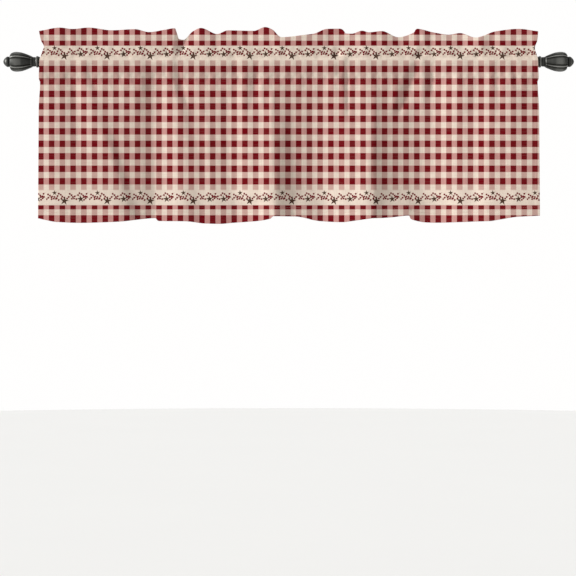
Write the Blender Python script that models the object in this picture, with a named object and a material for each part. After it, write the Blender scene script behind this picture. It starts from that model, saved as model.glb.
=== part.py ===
"""A window valance with a ruffled heading, gathered on a round curtain rod with two finials.

Metres, +Z up. +X runs along the rod, to the right as seen from the room, and -Y faces the room.
The origin is the middle of the rod's axis.

The valance is one panel of cloth. Its top is folded to the back and sewn down by two rows of
stitches, which leave a ruffle above the rod and a pocket round it. Here the panel is one sheet
that follows a path up the front, over the top and down the back, swept along the rod.
"""

import math
from collections import namedtuple

import bpy
import numpy as np

MM = 0.001

# The rod is a thin tube, and each finial has a spigot that slides into it.
ROD_RADIUS = 9.5 * MM
ROD_WALL = 1.2 * MM
ROD_HALF_LENGTH = 602.3 * MM
ROD_SEGMENTS = 40
PIECE_GAP = 0.3 * MM
SPIGOT_LENGTH = 20.0 * MM
SHARP_EDGE = math.radians(35)

# A finial's rings, from the face against the tube out to the tip. Flute says how much of the
# ribbing that ring takes.
Ring = namedtuple("Ring", "out radius flute")
FINIAL_RINGS = (
    Ring(0.0, 12.2, 0),
    Ring(2.6, 12.4, 0),
    Ring(3.4, 13.8, 0),
    Ring(6.6, 13.8, 0),
    Ring(7.6, 13.1, 0),
    Ring(8.6, 11.2, 0),
    Ring(9.8, 10.9, 0),
    Ring(15.0, 11.5, 0),
    Ring(17.4, 12.2, 0),
    Ring(21.7, 14.5, 0.8),
    Ring(29.0, 17.5, 1),
    Ring(37.0, 20.3, 1),
    Ring(45.9, 22.6, 1),
    Ring(55.6, 23.5, 1),
    Ring(64.2, 22.1, 1),
    Ring(67.7, 20.3, 1),
    Ring(70.1, 17.8, 1),
    Ring(71.6, 13.5, 0.5),
    Ring(72.6, 11.2, 0),
    Ring(73.8, 12.3, 0),
    Ring(77.6, 12.6, 0),
    Ring(80.2, 11.5, 0),
    Ring(84.8, 7.2, 0),
    Ring(86.8, 4.4, 0),
)
FINIAL_LENGTH = 88.0 * MM
FINIAL_SEGMENTS = 40
FINIAL_RIBS = 5
FINIAL_TURN = {"left": math.radians(28), "right": math.radians(2)}
RIB_HALF_ANGLE = math.radians(4)
RIB_HEIGHT = 0.045
GROOVE_FROM_RIB = math.radians(11)
GROOVE_HALF_ANGLE = math.radians(5)
GROOVE_DEPTH = 0.07
PANEL_CROWN = 0.02

# The cloth. The pocket's two layers lie clear of the rod, and meet at the rows of stitches.
CLOTH_THICKNESS = 1.2 * MM
SEAM_HALF_GAP = 0.8 * MM
POCKET_EASE = 0.75 * MM
POCKET_RADIUS = ROD_RADIUS + POCKET_EASE + CLOTH_THICKNESS / 2
TOP_SEAM = 14.0 * MM
LOW_SEAM = -42.0 * MM
TURN_IN = 7.0 * MM
FOLD_RADIUS = 1.4 * MM
HEADING_PUFF = 0.9 * MM
MOST_COLUMN = 20.0 * MM

# The main creases of the skirt, from left to right, in millimetres: where each leaves the
# pocket, where it meets the hem, and how low the hem is there. A negative y stands forward.
# A lap pushes the crease sideways near the hem. Growth is how late a fold deepens: under 1 it
# does so near the pocket.
Crease = namedtuple("Crease", "x_top y_top x_foot y_foot z_foot lap growth")
CREASES = (
    Crease(-604, 0.0, -606, -1, -379, 0, 0.6),
    Crease(-582, -1.5, -560, -5, -388, 0, 0.6),
    Crease(-520, 0.5, -496, -4, -390, 0, 0.8),
    Crease(-493, -2.5, -407, -7.5, -387, 0, 1.3),
    Crease(-456, -1.5, -367, 4, -382, 0, 1.3),
    Crease(-384, -0.5, -350, 6.5, -380, 0, 0.8),
    Crease(-332, 4.5, -325, 10, -378, 2, 0.6),
    Crease(-319, 2.5, -313, 8.5, -385, -1, 0.6),
    Crease(-292, -2.0, -250, 2.5, -386, 0, 0.6),
    Crease(-254, 3.0, -205, 7, -391, 0, 0.6),
    Crease(-214, 1.0, -170, 7, -392, 0, 0.7),
    Crease(-132, 1.5, -130, 8.5, -389, 0, 0.7),
    Crease(-110, -1.0, -98, 2, -387, 0, 0.6),
    Crease(-79, 2.0, -72, -3.5, -385, 0, 0.8),
    Crease(-42, -1.0, -46, -10, -380, 2, 0.9),
    Crease(-29, -0.5, -34, -11, -374, -2, 1.0),
    Crease(14, 0.5, 14, 10.5, -374, 0, 0.9),
    Crease(71, 2.0, 75, 13.5, -385, 0, 0.8),
    Crease(127, -3.0, 132, 3, -388, 0, 0.6),
    Crease(144, 2.5, 150, -1, -386, 0, 0.8),
    Crease(190, -2.0, 194, -11, -380, 2, 0.9),
    Crease(205, -1.0, 204, -11, -379, -2, 1.0),
    Crease(225, -0.8, 226, -0.5, -378, 0, 1.0),
    Crease(245, 0.0, 252, 6.5, -376, 0, 0.9),
    Crease(288, 2.0, 287, 12, -372, 4, 0.7),
    Crease(303, 2.0, 301, 13.5, -381, -3, 0.6),
    Crease(320, -1.0, 330, 16, -388, 0, 0.7),
    Crease(345, 4.5, 356, 12, -389, 0, 0.6),
    Crease(412, -5.0, 418, 0, -388, 0, 0.7),
    Crease(444, -4.0, 444, -2.5, -387, 0, 0.7),
    Crease(487, -9.0, 485, -11, -386, 0, 0.7),
    Crease(507, -7.5, 511, -12, -382, 0, 0.7),
    Crease(543, -8.5, 550, -14.5, -376, 0, 0.7),
    Crease(604, -7.0, 606, -13.5, -373, 0, 0.7),
)
LAP_GROWTH = 3.0

# The ruffles of the heading's folded edge, in millimetres. They lean out as they rise.
Ruffle = namedtuple("Ruffle", "x y z")
RUFFLES = (
    Ruffle(-604, 0, 74),
    Ruffle(-553, -3, 82),
    Ruffle(-524, -1, 79),
    Ruffle(-485, 3, 83),
    Ruffle(-427, 0, 76),
    Ruffle(-371, -4, 78),
    Ruffle(-338, -4, 71),
    Ruffle(-297, -4.5, 77),
    Ruffle(-275, -7, 80),
    Ruffle(-267, 1, 56),
    Ruffle(-255, 4, 54),
    Ruffle(-231, 1.5, 74),
    Ruffle(-212, -3.5, 81),
    Ruffle(-173, 0, 67),
    Ruffle(-147, 1, 76),
    Ruffle(-84, 2.5, 75),
    Ruffle(-57, 1, 84),
    Ruffle(-40, -1, 78),
    Ruffle(-18, -3, 59),
    Ruffle(40, -1, 65),
    Ruffle(61, 1, 68),
    Ruffle(93, 4, 80),
    Ruffle(124, 7, 81),
    Ruffle(133, 5, 77),
    Ruffle(137, 3.5, 69),
    Ruffle(153, 1.5, 68),
    Ruffle(178, -0.5, 75),
    Ruffle(194, -1, 71),
    Ruffle(226, 0, 74),
    Ruffle(265, 4, 60),
    Ruffle(305, 3, 72),
    Ruffle(309, 1.5, 80),
    Ruffle(353, 4, 71),
    Ruffle(388, 4, 66),
    Ruffle(415, 5, 70),
    Ruffle(453, -3, 58),
    Ruffle(499, -7.5, 72),
    Ruffle(555, -9, 78),
    Ruffle(604, -11, 71.5),
)
SHARP_RUFFLES_AT = (-275, -267, 133, 137, 309)
RUFFLE_LEAN = 1.3
RUFFLE_AT_SEAM = 0.15

# How far each end of the cloth is drawn in at some heights, in millimetres, most just above
# the pocket.
DRAWN_IN = {
    "left": ((-32, 0), (-12, 2.0), (14, 4.4), (37, 12), (52, 5), (76, 0)),
    "right": ((-32, 0), (-12, 2.0), (14, 3.6), (33, 9), (50, 3.6), (76, 1.2)),
}
DRAWN_IN_REACH = 45.0 * MM

# Where the path's rows lie: down the skirt as shares of its drop, up the heading as shares of
# its rise, and round the top fold and the rod as angles from the front.
SKIRT_ROWS = (1.0, 0.84, 0.67, 0.50, 0.34, 0.19, 0.07)
HEADING_ROWS = (0.3, 0.68)
TOP_FOLD_TURNS = (0, 60, 120, 180)
ROD_TURNS = (-13, 16, 45)
POCKET_MIDDLE = -20.0 * MM
ROD_REACH = 12.0 * MM

# How much of the gathers' depth is left where the pocket is stretched over the rod.
GATHERS_OVER_ROD = 0.5


def clear_scene():
    for item in list(bpy.data.objects):
        bpy.data.objects.remove(item, do_unlink=True)


def column_of(table, field):
    """One field of a table's rows, in metres."""
    return np.array([getattr(row, field) for row in table]) * MM


def smooth_through(knots, values, at):
    """The smooth curve through the knots, which never swings past them."""
    steps = np.diff(knots)
    rises = np.diff(values) / steps
    before, after = rises[:-1], rises[1:]
    both = before * after > 0
    total = np.where(both, before + after, 1.0)
    inner = np.where(both, 2 * before * after / total, 0.0)
    slopes = np.concatenate([rises[:1], inner, rises[-1:]])
    i = np.clip(np.searchsorted(knots, at, side="right") - 1, 0, len(steps) - 1)
    t = (at - knots[i]) / steps[i]
    ends = (1 + 2 * t) * (1 - t) ** 2 * values[i] + t**2 * (3 - 2 * t) * values[i + 1]
    return ends + steps[i] * t * (1 - t) * ((1 - t) * slopes[i] - t * slopes[i + 1])


def fade(low, high, at):
    """0 at low and before it, 1 at high and past it, smooth between."""
    t = np.clip((at - low) / (high - low), 0.0, 1.0)
    return t * t * (3 - 2 * t)


def cloth_columns():
    """The places along the rod where the sheet has a column of points."""
    fixed = sorted({row.x_top for row in CREASES} | set(SHARP_RUFFLES_AT))
    places = [fixed[0] * MM]
    for left, right in zip(fixed, fixed[1:]):
        count = math.ceil((right - left) * MM / MOST_COLUMN)
        places += [(left + (right - left) * (k + 1) / count) * MM for k in range(count)]
    return np.array(places)


def skirt(along, drop):
    """The skirt's middle surface, from the low row of stitches at 0 to the hem at 1."""
    tops = column_of(CREASES, "x_top")
    foot = smooth_through(tops, column_of(CREASES, "x_foot"), along)
    lap = smooth_through(tops, column_of(CREASES, "lap"), along)
    near = smooth_through(tops, column_of(CREASES, "y_top"), along)
    far = smooth_through(tops, column_of(CREASES, "y_foot"), along)
    hem = smooth_through(tops, column_of(CREASES, "z_foot"), along)
    growth = smooth_through(tops, column_of(CREASES, "growth") / MM, along)
    return np.stack(
        [
            along + (foot - along) * drop + lap * drop**LAP_GROWTH,
            near + (far - near) * drop**growth,
            LOW_SEAM + (hem - LOW_SEAM) * drop,
        ],
        axis=1,
    )


def drawn_in(along, height):
    """How far the cloth is shifted along the rod at a height, near its two ends."""
    left, right = (
        smooth_through(heights, shifts, np.clip(height, heights[0], heights[-1]))
        for heights, shifts in (np.array(DRAWN_IN[end]).T * MM for end in ("left", "right"))
    )
    from_left, from_right = along - along[0], along[-1] - along
    return left * np.exp(-from_left / DRAWN_IN_REACH) - right * np.exp(
        -from_right / DRAWN_IN_REACH
    )


def heading(along, rise):
    """The ruffle's middle surface, from the top row of stitches at 0 to its folded edge at 1."""
    at = column_of(RUFFLES, "x")
    edge_y = smooth_through(at, column_of(RUFFLES, "y"), along)
    edge_z = smooth_through(at, column_of(RUFFLES, "z"), along)
    lean = RUFFLE_AT_SEAM + (1 - RUFFLE_AT_SEAM) * rise**RUFFLE_LEAN
    height = TOP_SEAM + (edge_z - FOLD_RADIUS - TOP_SEAM) * rise
    return np.stack([along + drawn_in(along, height), edge_y * lean, height], axis=1)


def pocket_half_depth(height):
    """How far each layer stands from the rod's axis: taut round the rod, straight to the seams."""
    if height > pocket_touch(TOP_SEAM)[1]:
        return towards_seam(height, TOP_SEAM)
    if height < pocket_touch(LOW_SEAM)[1]:
        return towards_seam(height, LOW_SEAM)
    return math.sqrt(POCKET_RADIUS**2 - height**2)


def pocket_touch(seam):
    """The point (depth, height) where a taut layer from this seam meets the circle."""
    reach = math.hypot(SEAM_HALF_GAP, seam)
    side = math.acos(POCKET_RADIUS / reach)
    turn = math.atan2(seam, SEAM_HALF_GAP) - math.copysign(side, seam)
    return POCKET_RADIUS * math.cos(turn), POCKET_RADIUS * math.sin(turn)


def towards_seam(height, seam):
    depth, touch = pocket_touch(seam)
    share = (height - touch) / (seam - touch)
    return depth + (SEAM_HALF_GAP - depth) * share


def pocket(along, height, side):
    """One layer of the pocket: side is -1 at the front and 1 at the back."""
    gathers = skirt(along, 0.0)[:, 1]
    ruffles = heading(along, 0.0)[:, 1]
    outward = (side * gathers - np.min(side * gathers)) * GATHERS_OVER_ROD
    low = fade(-ROD_REACH, LOW_SEAM, height)
    high = fade(ROD_RADIUS, TOP_SEAM, height)
    sway = gathers * low + ruffles * high + side * outward * (1 - low - high)
    depth = side * pocket_half_depth(height) + sway
    across = along + drawn_in(along, height)
    return np.stack([across, depth, np.full_like(along, height)], axis=1)


def beside(surface, distance, lift=0.0):
    """The surface's row moved along its own level normal, towards the back if positive."""
    run = np.gradient(surface[:, :2], axis=0)
    run /= np.linalg.norm(run, axis=1, keepdims=True)
    moved = surface.copy()
    moved[:, 0] -= run[:, 1] * distance
    moved[:, 1] += run[:, 0] * distance
    moved[:, 2] += lift
    return moved


def heading_half_gap(rise):
    swell = HEADING_PUFF * math.sin(math.pi * rise)
    return SEAM_HALF_GAP + (FOLD_RADIUS - SEAM_HALF_GAP) * rise + swell


def pocket_heights():
    """From the low seam up to the top seam."""
    turns = [POCKET_RADIUS * math.sin(math.radians(turn)) for turn in ROD_TURNS]
    return [LOW_SEAM, POCKET_MIDDLE, *turns, TOP_SEAM]


def cloth_rows(along):
    """The sheet's rows: up the front from the hem, over the top, and down the back."""
    rows = [beside(skirt(along, drop), -SEAM_HALF_GAP) for drop in SKIRT_ROWS]
    rows += [pocket(along, height, -1) for height in pocket_heights()]
    rows += [beside(heading(along, rise), -heading_half_gap(rise)) for rise in HEADING_ROWS]
    for turn in TOP_FOLD_TURNS:
        out = -FOLD_RADIUS * math.cos(math.radians(turn))
        up = FOLD_RADIUS * math.sin(math.radians(turn))
        rows.append(beside(heading(along, 1.0), out, up))
    for rise in reversed(HEADING_ROWS):
        rows.append(beside(heading(along, rise), heading_half_gap(rise)))
    rows += [pocket(along, height, 1) for height in reversed(pocket_heights())]
    seam = beside(skirt(along, 0.0), SEAM_HALF_GAP)
    below = beside(skirt(along, SKIRT_ROWS[-1]), SEAM_HALF_GAP)
    rows.append(seam + (below - seam) * TURN_IN / (seam[:, 2] - below[:, 2]).mean())
    return np.array(rows)


def grid_faces(rows, columns, wrap_rows=False, wrap_columns=False):
    """Quads over a grid of points numbered row by row."""
    faces = []
    for r in range(rows if wrap_rows else rows - 1):
        for c in range(columns if wrap_columns else columns - 1):
            up, across = (r + 1) % rows, (c + 1) % columns
            faces.append(
                (r * columns + c, r * columns + across, up * columns + across, up * columns + c)
            )
    return faces


def make_object(name, points, faces, material):
    mesh = bpy.data.meshes.new(name)
    mesh.from_pydata([tuple(point) for point in points], [], faces)
    mesh.materials.append(material)
    item = bpy.data.objects.new(name, mesh)
    bpy.context.scene.collection.objects.link(item)
    return item


def make_material(name, colour, roughness, metallic=0.0):
    material = bpy.data.materials.new(name)
    material.use_nodes = True
    shader = material.node_tree.nodes["Principled BSDF"]
    shader.inputs["Base Color"].default_value = (*colour, 1.0)
    shader.inputs["Roughness"].default_value = roughness
    shader.inputs["Metallic"].default_value = metallic
    return material


def make_valance(material):
    rows = cloth_rows(cloth_columns())
    faces = grid_faces(rows.shape[0], rows.shape[1])
    item = make_object("valance", rows.reshape(-1, 3), faces, material)
    thicken = item.modifiers.new("Thickness", "SOLIDIFY")
    thicken.thickness = CLOTH_THICKNESS
    thicken.offset = 0.0
    item.data.shade_smooth()
    return item


def turned(name, profile, segments, material, radius_at=None):
    """Turns a profile of (out, radius) points round the X axis.

    The profile runs inward to outward along +X. One that starts and ends on the axis makes a
    capped solid, and any other makes a closed ring. radius_at(i, angle, radius) may shape it.
    """
    capped = profile[0][1] == 0
    rings = profile[1:-1] if capped else profile
    points = []
    for i, (out, radius) in enumerate(rings):
        for k in range(segments):
            angle = 2 * math.pi * k / segments
            r = radius_at(i, angle, radius) if radius_at else radius
            points.append((out, r * math.cos(angle), r * math.sin(angle)))
    faces = grid_faces(len(rings), segments, not capped, True)
    if capped:
        first, last = len(points), len(points) + 1
        points += [(profile[0][0], 0, 0), (profile[-1][0], 0, 0)]
        start = (len(rings) - 1) * segments
        for k in range(segments):
            after = (k + 1) % segments
            faces.append((first, after, k))
            faces.append((last, start + k, start + after))
    item = make_object(name, points, faces, material)
    item.data.shade_smooth()
    item.data.set_sharp_from_angle(angle=SHARP_EDGE)
    return item


def make_rod(material):
    inner = ROD_RADIUS - ROD_WALL
    profile = [
        (-ROD_HALF_LENGTH, inner),
        (-ROD_HALF_LENGTH, ROD_RADIUS),
        (ROD_HALF_LENGTH, ROD_RADIUS),
        (ROD_HALF_LENGTH, inner),
    ]
    return turned("rod", profile, ROD_SEGMENTS, material)


def rib_shape(angle):
    """A finial's radius share round its axis: thin ribs between grooves, and crowned panels."""
    pitch = 2 * math.pi / FINIAL_RIBS
    off = min(angle % pitch, -angle % pitch)
    rib = RIB_HEIGHT * math.exp(-((off / RIB_HALF_ANGLE) ** 2))
    groove = GROOVE_DEPTH * math.exp(-(((off - GROOVE_FROM_RIB) / GROOVE_HALF_ANGLE) ** 2))
    return 1 + rib - groove + PANEL_CROWN * math.sin(math.pi * off / pitch)


def make_finial(end, material):
    """One finial, at the rod's left or right end."""
    spigot = ROD_RADIUS - ROD_WALL - PIECE_GAP
    profile = [(-SPIGOT_LENGTH, 0), (-SPIGOT_LENGTH, spigot), (0, spigot)]
    profile += [(ring.out * MM, ring.radius * MM) for ring in FINIAL_RINGS]
    profile.append((FINIAL_LENGTH, 0))
    flutes = [0, 0] + [ring.flute for ring in FINIAL_RINGS]

    def fluted(i, angle, radius):
        return radius * (1 + flutes[i] * (rib_shape(angle) - 1))

    item = turned("finial_" + end, profile, FINIAL_SEGMENTS, material, fluted)
    reach = ROD_HALF_LENGTH + PIECE_GAP
    item.location.x = reach if end == "right" else -reach
    item.rotation_euler = (FINIAL_TURN[end], 0, 0 if end == "right" else math.pi)
    return item


def main():
    clear_scene()
    cloth = make_material("checked_cotton", colour=(0.42, 0.19, 0.16), roughness=0.9)
    metal = make_material(
        "gunmetal", colour=(0.045, 0.047, 0.043), roughness=0.38, metallic=0.9
    )
    make_rod(metal)
    make_finial("left", metal)
    make_finial("right", metal)
    make_valance(cloth)


main()
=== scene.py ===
"""The looks of a window valance on its curtain rod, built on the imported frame.

Metres, in the frame's axes: +X runs along the rod to the right, -Y faces the room, +Z is up, and
the origin is the middle of the rod's axis. Tables are in millimetres.
"""

import math
from collections import namedtuple

import bpy
import numpy as np
from mathutils import Matrix, Vector


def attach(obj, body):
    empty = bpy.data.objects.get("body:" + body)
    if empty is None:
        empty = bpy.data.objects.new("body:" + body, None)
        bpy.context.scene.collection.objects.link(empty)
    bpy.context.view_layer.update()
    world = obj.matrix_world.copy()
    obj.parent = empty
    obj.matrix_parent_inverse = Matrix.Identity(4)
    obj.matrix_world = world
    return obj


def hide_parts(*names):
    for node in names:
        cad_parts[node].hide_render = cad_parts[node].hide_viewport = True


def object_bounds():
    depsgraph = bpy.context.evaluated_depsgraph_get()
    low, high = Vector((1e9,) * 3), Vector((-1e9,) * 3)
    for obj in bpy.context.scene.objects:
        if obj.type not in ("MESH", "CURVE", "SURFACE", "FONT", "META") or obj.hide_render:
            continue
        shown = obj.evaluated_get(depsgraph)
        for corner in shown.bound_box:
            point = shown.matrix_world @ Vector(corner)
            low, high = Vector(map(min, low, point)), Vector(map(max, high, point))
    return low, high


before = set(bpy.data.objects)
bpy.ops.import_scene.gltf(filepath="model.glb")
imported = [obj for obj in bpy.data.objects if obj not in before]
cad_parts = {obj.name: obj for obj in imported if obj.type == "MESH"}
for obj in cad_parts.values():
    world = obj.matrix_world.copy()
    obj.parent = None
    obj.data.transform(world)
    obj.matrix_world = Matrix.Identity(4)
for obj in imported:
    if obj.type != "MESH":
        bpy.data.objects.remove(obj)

MM = 0.001
CAD_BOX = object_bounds()

# The camera stands here, and the print is laid out to look straight and even from here.
EYE = (-0.0015, -4.0, -0.5474)

# ---- the cloth's cut and hang

# The sheet's thickness.
CLOTH_THICKNESS = 0.8 * MM

# The two seams' heights, half the gap between the layers there, and the turn in below the back.
TOP_SEAM = 14.0 * MM
LOW_SEAM = -42.0 * MM
SEAM_HALF_GAP = 0.8 * MM
TURN_IN = 7.0 * MM

# The heading's folded edge, and how much each layer puffs out below it.
FOLD_RADIUS = 1.4 * MM
HEADING_PUFF = 0.9 * MM

# Round the rod: where the cloth's middle lies, how near its axis the tucks may press it, how much
# of the gathers shows there, and how far below its axis they start to grow.
ROD_RADIUS = 9.5 * MM
POCKET_RADIUS = 10.85 * MM
CLOSE_ON_ROD = 10.3 * MM
GATHERS_OVER_ROD = 0.5
ROD_REACH = 12.0 * MM

# The main creases of the skirt, from left to right: where each leaves the pocket, where it meets
# the hem, and how low the hem is there. A negative y stands forward. A lap pushes the crease
# sideways near the hem. Growth is how late a fold deepens: under 1 it does so near the pocket.
Crease = namedtuple("Crease", "x_top y_top x_foot y_foot z_foot lap growth")
CREASES = (
    Crease(-604, 0.0, -606, -1, -379, 0, 0.6),
    Crease(-582, -1.5, -560, -5, -388, 0, 0.6),
    Crease(-520, 0.5, -496, -4, -390, 0, 0.8),
    Crease(-493, -2.5, -407, -7.5, -387, 0, 1.3),
    Crease(-456, -1.5, -367, 4, -382, 0, 1.3),
    Crease(-384, -0.5, -350, 6.5, -380, 0, 0.8),
    Crease(-332, 4.5, -325, 10, -378, 2, 0.6),
    Crease(-319, 2.5, -313, 8.5, -385, -1, 0.6),
    Crease(-292, -2.0, -250, 2.5, -386, 0, 0.6),
    Crease(-254, 3.0, -205, 7, -391, 0, 0.6),
    Crease(-214, 1.0, -170, 7, -392, 0, 0.7),
    Crease(-132, 1.5, -130, 8.5, -389, 0, 0.7),
    Crease(-110, -1.0, -98, 2, -387, 0, 0.6),
    Crease(-79, 2.0, -72, -3.5, -385, 0, 0.8),
    Crease(-42, -1.0, -46, -10, -380, 2, 0.9),
    Crease(-29, -0.5, -34, -11, -374, -2, 1.0),
    Crease(14, 0.5, 14, 10.5, -374, 0, 0.9),
    Crease(71, 2.0, 75, 13.5, -385, 0, 0.8),
    Crease(127, -3.0, 132, 3, -388, 0, 0.6),
    Crease(144, 2.5, 150, -1, -386, 0, 0.8),
    Crease(190, -2.0, 194, -11, -380, 2, 0.9),
    Crease(205, -1.0, 204, -11, -379, -2, 1.0),
    Crease(225, -0.8, 226, -0.5, -378, 0, 1.0),
    Crease(245, 0.0, 252, 6.5, -376, 0, 0.9),
    Crease(288, 2.0, 287, 12, -372, 4, 0.7),
    Crease(303, 2.0, 301, 13.5, -381, -3, 0.6),
    Crease(320, -1.0, 330, 16, -388, 0, 0.7),
    Crease(345, 4.5, 356, 12, -389, 0, 0.6),
    Crease(412, -5.0, 418, 0, -388, 0, 0.7),
    Crease(444, -4.0, 444, -2.5, -387, 0, 0.7),
    Crease(487, -9.0, 485, -11, -386, 0, 0.7),
    Crease(507, -7.5, 511, -12, -382, 0, 0.7),
    Crease(543, -8.5, 550, -14.5, -376, 0, 0.7),
    Crease(604, -7.0, 606, -13.5, -373, 0, 0.7),
)
LAP_GROWTH = 3.0

# Just under the low row of stitches the skirt's side edges step in a little: how far, at what
# share of the drop it is most and where it is gone, and how far it reaches along the rod.
SIDE_STEP = 3.0 * MM
SIDE_STEP_AT = 0.02
SIDE_STEP_GONE = 0.22
SIDE_STEP_REACH = 14.0 * MM

# The ruffles of the heading's folded edge. They lean out as they rise from the top seam.
Ruffle = namedtuple("Ruffle", "x y z")
RUFFLES = (
    Ruffle(-604, 0, 74),
    Ruffle(-553, -3, 82),
    Ruffle(-524, -1, 79),
    Ruffle(-485, 3, 83),
    Ruffle(-427, 0, 76),
    Ruffle(-371, -4, 78),
    Ruffle(-338, -4, 71),
    Ruffle(-297, -4.5, 77),
    Ruffle(-275, -7, 80),
    Ruffle(-267, 1, 56),
    Ruffle(-255, 4, 54),
    Ruffle(-231, 1.5, 74),
    Ruffle(-212, -3.5, 81),
    Ruffle(-173, 0, 67),
    Ruffle(-147, 1, 76),
    Ruffle(-84, 2.5, 75),
    Ruffle(-57, 1, 84),
    Ruffle(-40, -1, 78),
    Ruffle(-18, -3, 59),
    Ruffle(40, -1, 65),
    Ruffle(61, 1, 68),
    Ruffle(93, 4, 80),
    Ruffle(124, 7, 81),
    Ruffle(133, 5, 77),
    Ruffle(137, 3.5, 69),
    Ruffle(153, 1.5, 68),
    Ruffle(178, -0.5, 75),
    Ruffle(194, -1, 71),
    Ruffle(226, 0, 74),
    Ruffle(265, 4, 60),
    Ruffle(305, 3, 72),
    Ruffle(309, 1.5, 80),
    Ruffle(353, 4, 71),
    Ruffle(388, 4, 66),
    Ruffle(415, 5, 70),
    Ruffle(453, -3, 58),
    Ruffle(499, -7.5, 72),
    Ruffle(555, -9, 78),
    Ruffle(604, -11, 71.5),
)
RUFFLE_LEAN = 1.3
RUFFLE_AT_SEAM = 0.15

# How far each end of the cloth is drawn in at some heights, most just above the pocket.
DRAWN_IN = {
    "left": ((-32, 0), (-12, 2.0), (14, 4.4), (37, 12), (52, 5), (76, 0)),
    "right": ((-32, 0), (-12, 2.0), (14, 3.6), (33, 9), (50, 3.6), (76, 1.2)),
}
DRAWN_IN_REACH = 45.0 * MM

# Short soft troughs and ridges that lie over the main creases: where each starts and ends, its
# half width, and how far back it dips. A negative dip is a ridge. The fades are the shares of a
# tuck's length where it reaches full depth and starts to die out. Over the rod most of it is held.
Tuck = namedtuple("Tuck", "x_top z_top x_foot z_foot half_width dip")
TUCKS = (
    Tuck(323, 40, 261, -140, 11, 4.4),
    Tuck(341, 36, 288, -112, 17, 2.8),
    Tuck(344, 28, 352, -90, 10, 2.8),
    Tuck(322, -70, 326, -330, 12, 1.4),
    Tuck(138, 4, 147, -142, 5, 1.7),
    Tuck(147, -20, 150, -330, 9, -1.4),
    Tuck(121, -20, 123, -330, 9, 1.5),
    Tuck(115, 36, 124, -44, 10, 3.6),
    Tuck(-66, 40, -97, -140, 10, 1.4),
    Tuck(-70, 10, -66, -120, 8, -1.2),
    Tuck(-477, 8, -473, -74, 13, 2.6),
    Tuck(-274, 30, -262, -96, 7, 1.9),
    Tuck(-272, 2, -243, -115, 7, 1.7),
    Tuck(-358, 14, -358, -84, 12, -2.0),
    Tuck(-368, -30, -368, -130, 40, -3.0),
    Tuck(-306, 40, -304, -395, 30, 3.6),
    Tuck(-297, 10, -296, -44, 7, 1.8),
    Tuck(-268, -60, -215, -330, 18, -2.4),
    Tuck(-520, -20, -505, -240, 18, 2.2),
    Tuck(501, 24, 510, -140, 8, 1.3),
    Tuck(528, -20, 520, -215, 40, -3.6),
    Tuck(428, -24, 428, -130, 42, -3.6),
    Tuck(540, 26, 548, -70, 7, 1.2),
    Tuck(-150, -60, -146, -330, 12, 1.3),
    Tuck(-196, -120, -188, -360, 10, -1.2),
    Tuck(-451, -150, -345, -470, 13, -2.2),
    Tuck(55, -90, 62, -320, 13, 1.0),
    Tuck(-40, -60, -42, -300, 11, -1.5),
    Tuck(210, -28, 196, -300, 11, -1.7),
    Tuck(262, -24, 258, -120, 13, -1.6),
    Tuck(-128, 24, -128, -44, 14, 2.2),
    Tuck(-98, -318, -98, -480, 32, 3.0),
    Tuck(-45, -318, -45, -480, 45, 3.4),
    Tuck(34, -318, 34, -480, 34, -4.0),
    Tuck(203, -318, 203, -480, 42, 3.4),
    Tuck(285, -318, 285, -480, 55, -4.0),
    Tuck(372, -318, 372, -480, 30, 2.2),
    Tuck(-259, 66, -266, 18, 12, 4.6),
    Tuck(345, 70, 350, 16, 12, 2.0),
    Tuck(316, 78, 316, 46, 6, 1.5),
    Tuck(276, 62, 276, 24, 14, 1.8),
    Tuck(101, 72, 98, 20, 8, 1.0),
    Tuck(150, 64, 150, 22, 20, 2.4),
    Tuck(490, 72, 490, 20, 16, 2.6),
    Tuck(462, 70, 462, 20, 13, -1.5),
    Tuck(-98, 72, -98, 42, 8, 1.5),
    Tuck(-540, 76, -532, 22, 9, 1.3),
    Tuck(-173, 64, -178, 18, 8, 0.8),
)
TUCK_FADES = (0.15, 0.8)
HELD_BY_ROD = 0.75

# Small puckers that the stitches raise, as waves along the rod that lean sideways as they rise.
# They are strongest near a seam, and a share of them is left away from it.
Pucker = namedtuple("Pucker", "length lean height phase")
PUCKERS = (
    Pucker(14.3, 0.5, 0.22, 0.4),
    Pucker(19.1, -0.8, 0.28, 5.2),
    Pucker(25.7, 0.3, 0.36, 2.1),
    Pucker(41.9, -0.4, 0.44, 4.0),
)
PUCKER_REACH = 20.0 * MM
PUCKER_AWAY = 0.18

# Hems are double, so they stand proud and step down where they end. The foot's ends at stitches.
HEM_SEAM = 22.0
HEM_DEPTH = HEM_SEAM * MM
HEM_STEP = 1.2 * MM
SIDE_HEM_WIDTH = 9.0 * MM
SIDE_HEM_STEP = 1.0 * MM
HEM_PROUD = 0.35 * MM
STITCH_DENT = 0.35 * MM
STITCH_DENT_REACH = 1.6 * MM

# The sheet's grid of points, closer together at the side hems, the hem's stitches and the rod.
COLUMNS = 392
SIDE_COLUMNS = (0, 0.8, 3, 6, 8, 8.7, 9.3, 10.2, 12)
HEM_ROWS = (0, 0.8, 3, 7, 12, 17, 20.4, 21.4, HEM_SEAM, 22.6, 23.6, 27)
SKIRT_ROWS = 44
POCKET_HEIGHTS = (-42, -40.8, -38, -33, -28, -23, -18, -14, -10, -6, -2, 2, 6, 8, 10, 12.2, 14)
HEADING_ROWS = 13
TOP_FOLD_TURNS = (20, 60, 90, 120, 160)


def column_of(table, field):
    """One field of a table's rows, in metres."""
    return np.array([getattr(row, field) for row in table]) * MM


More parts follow.
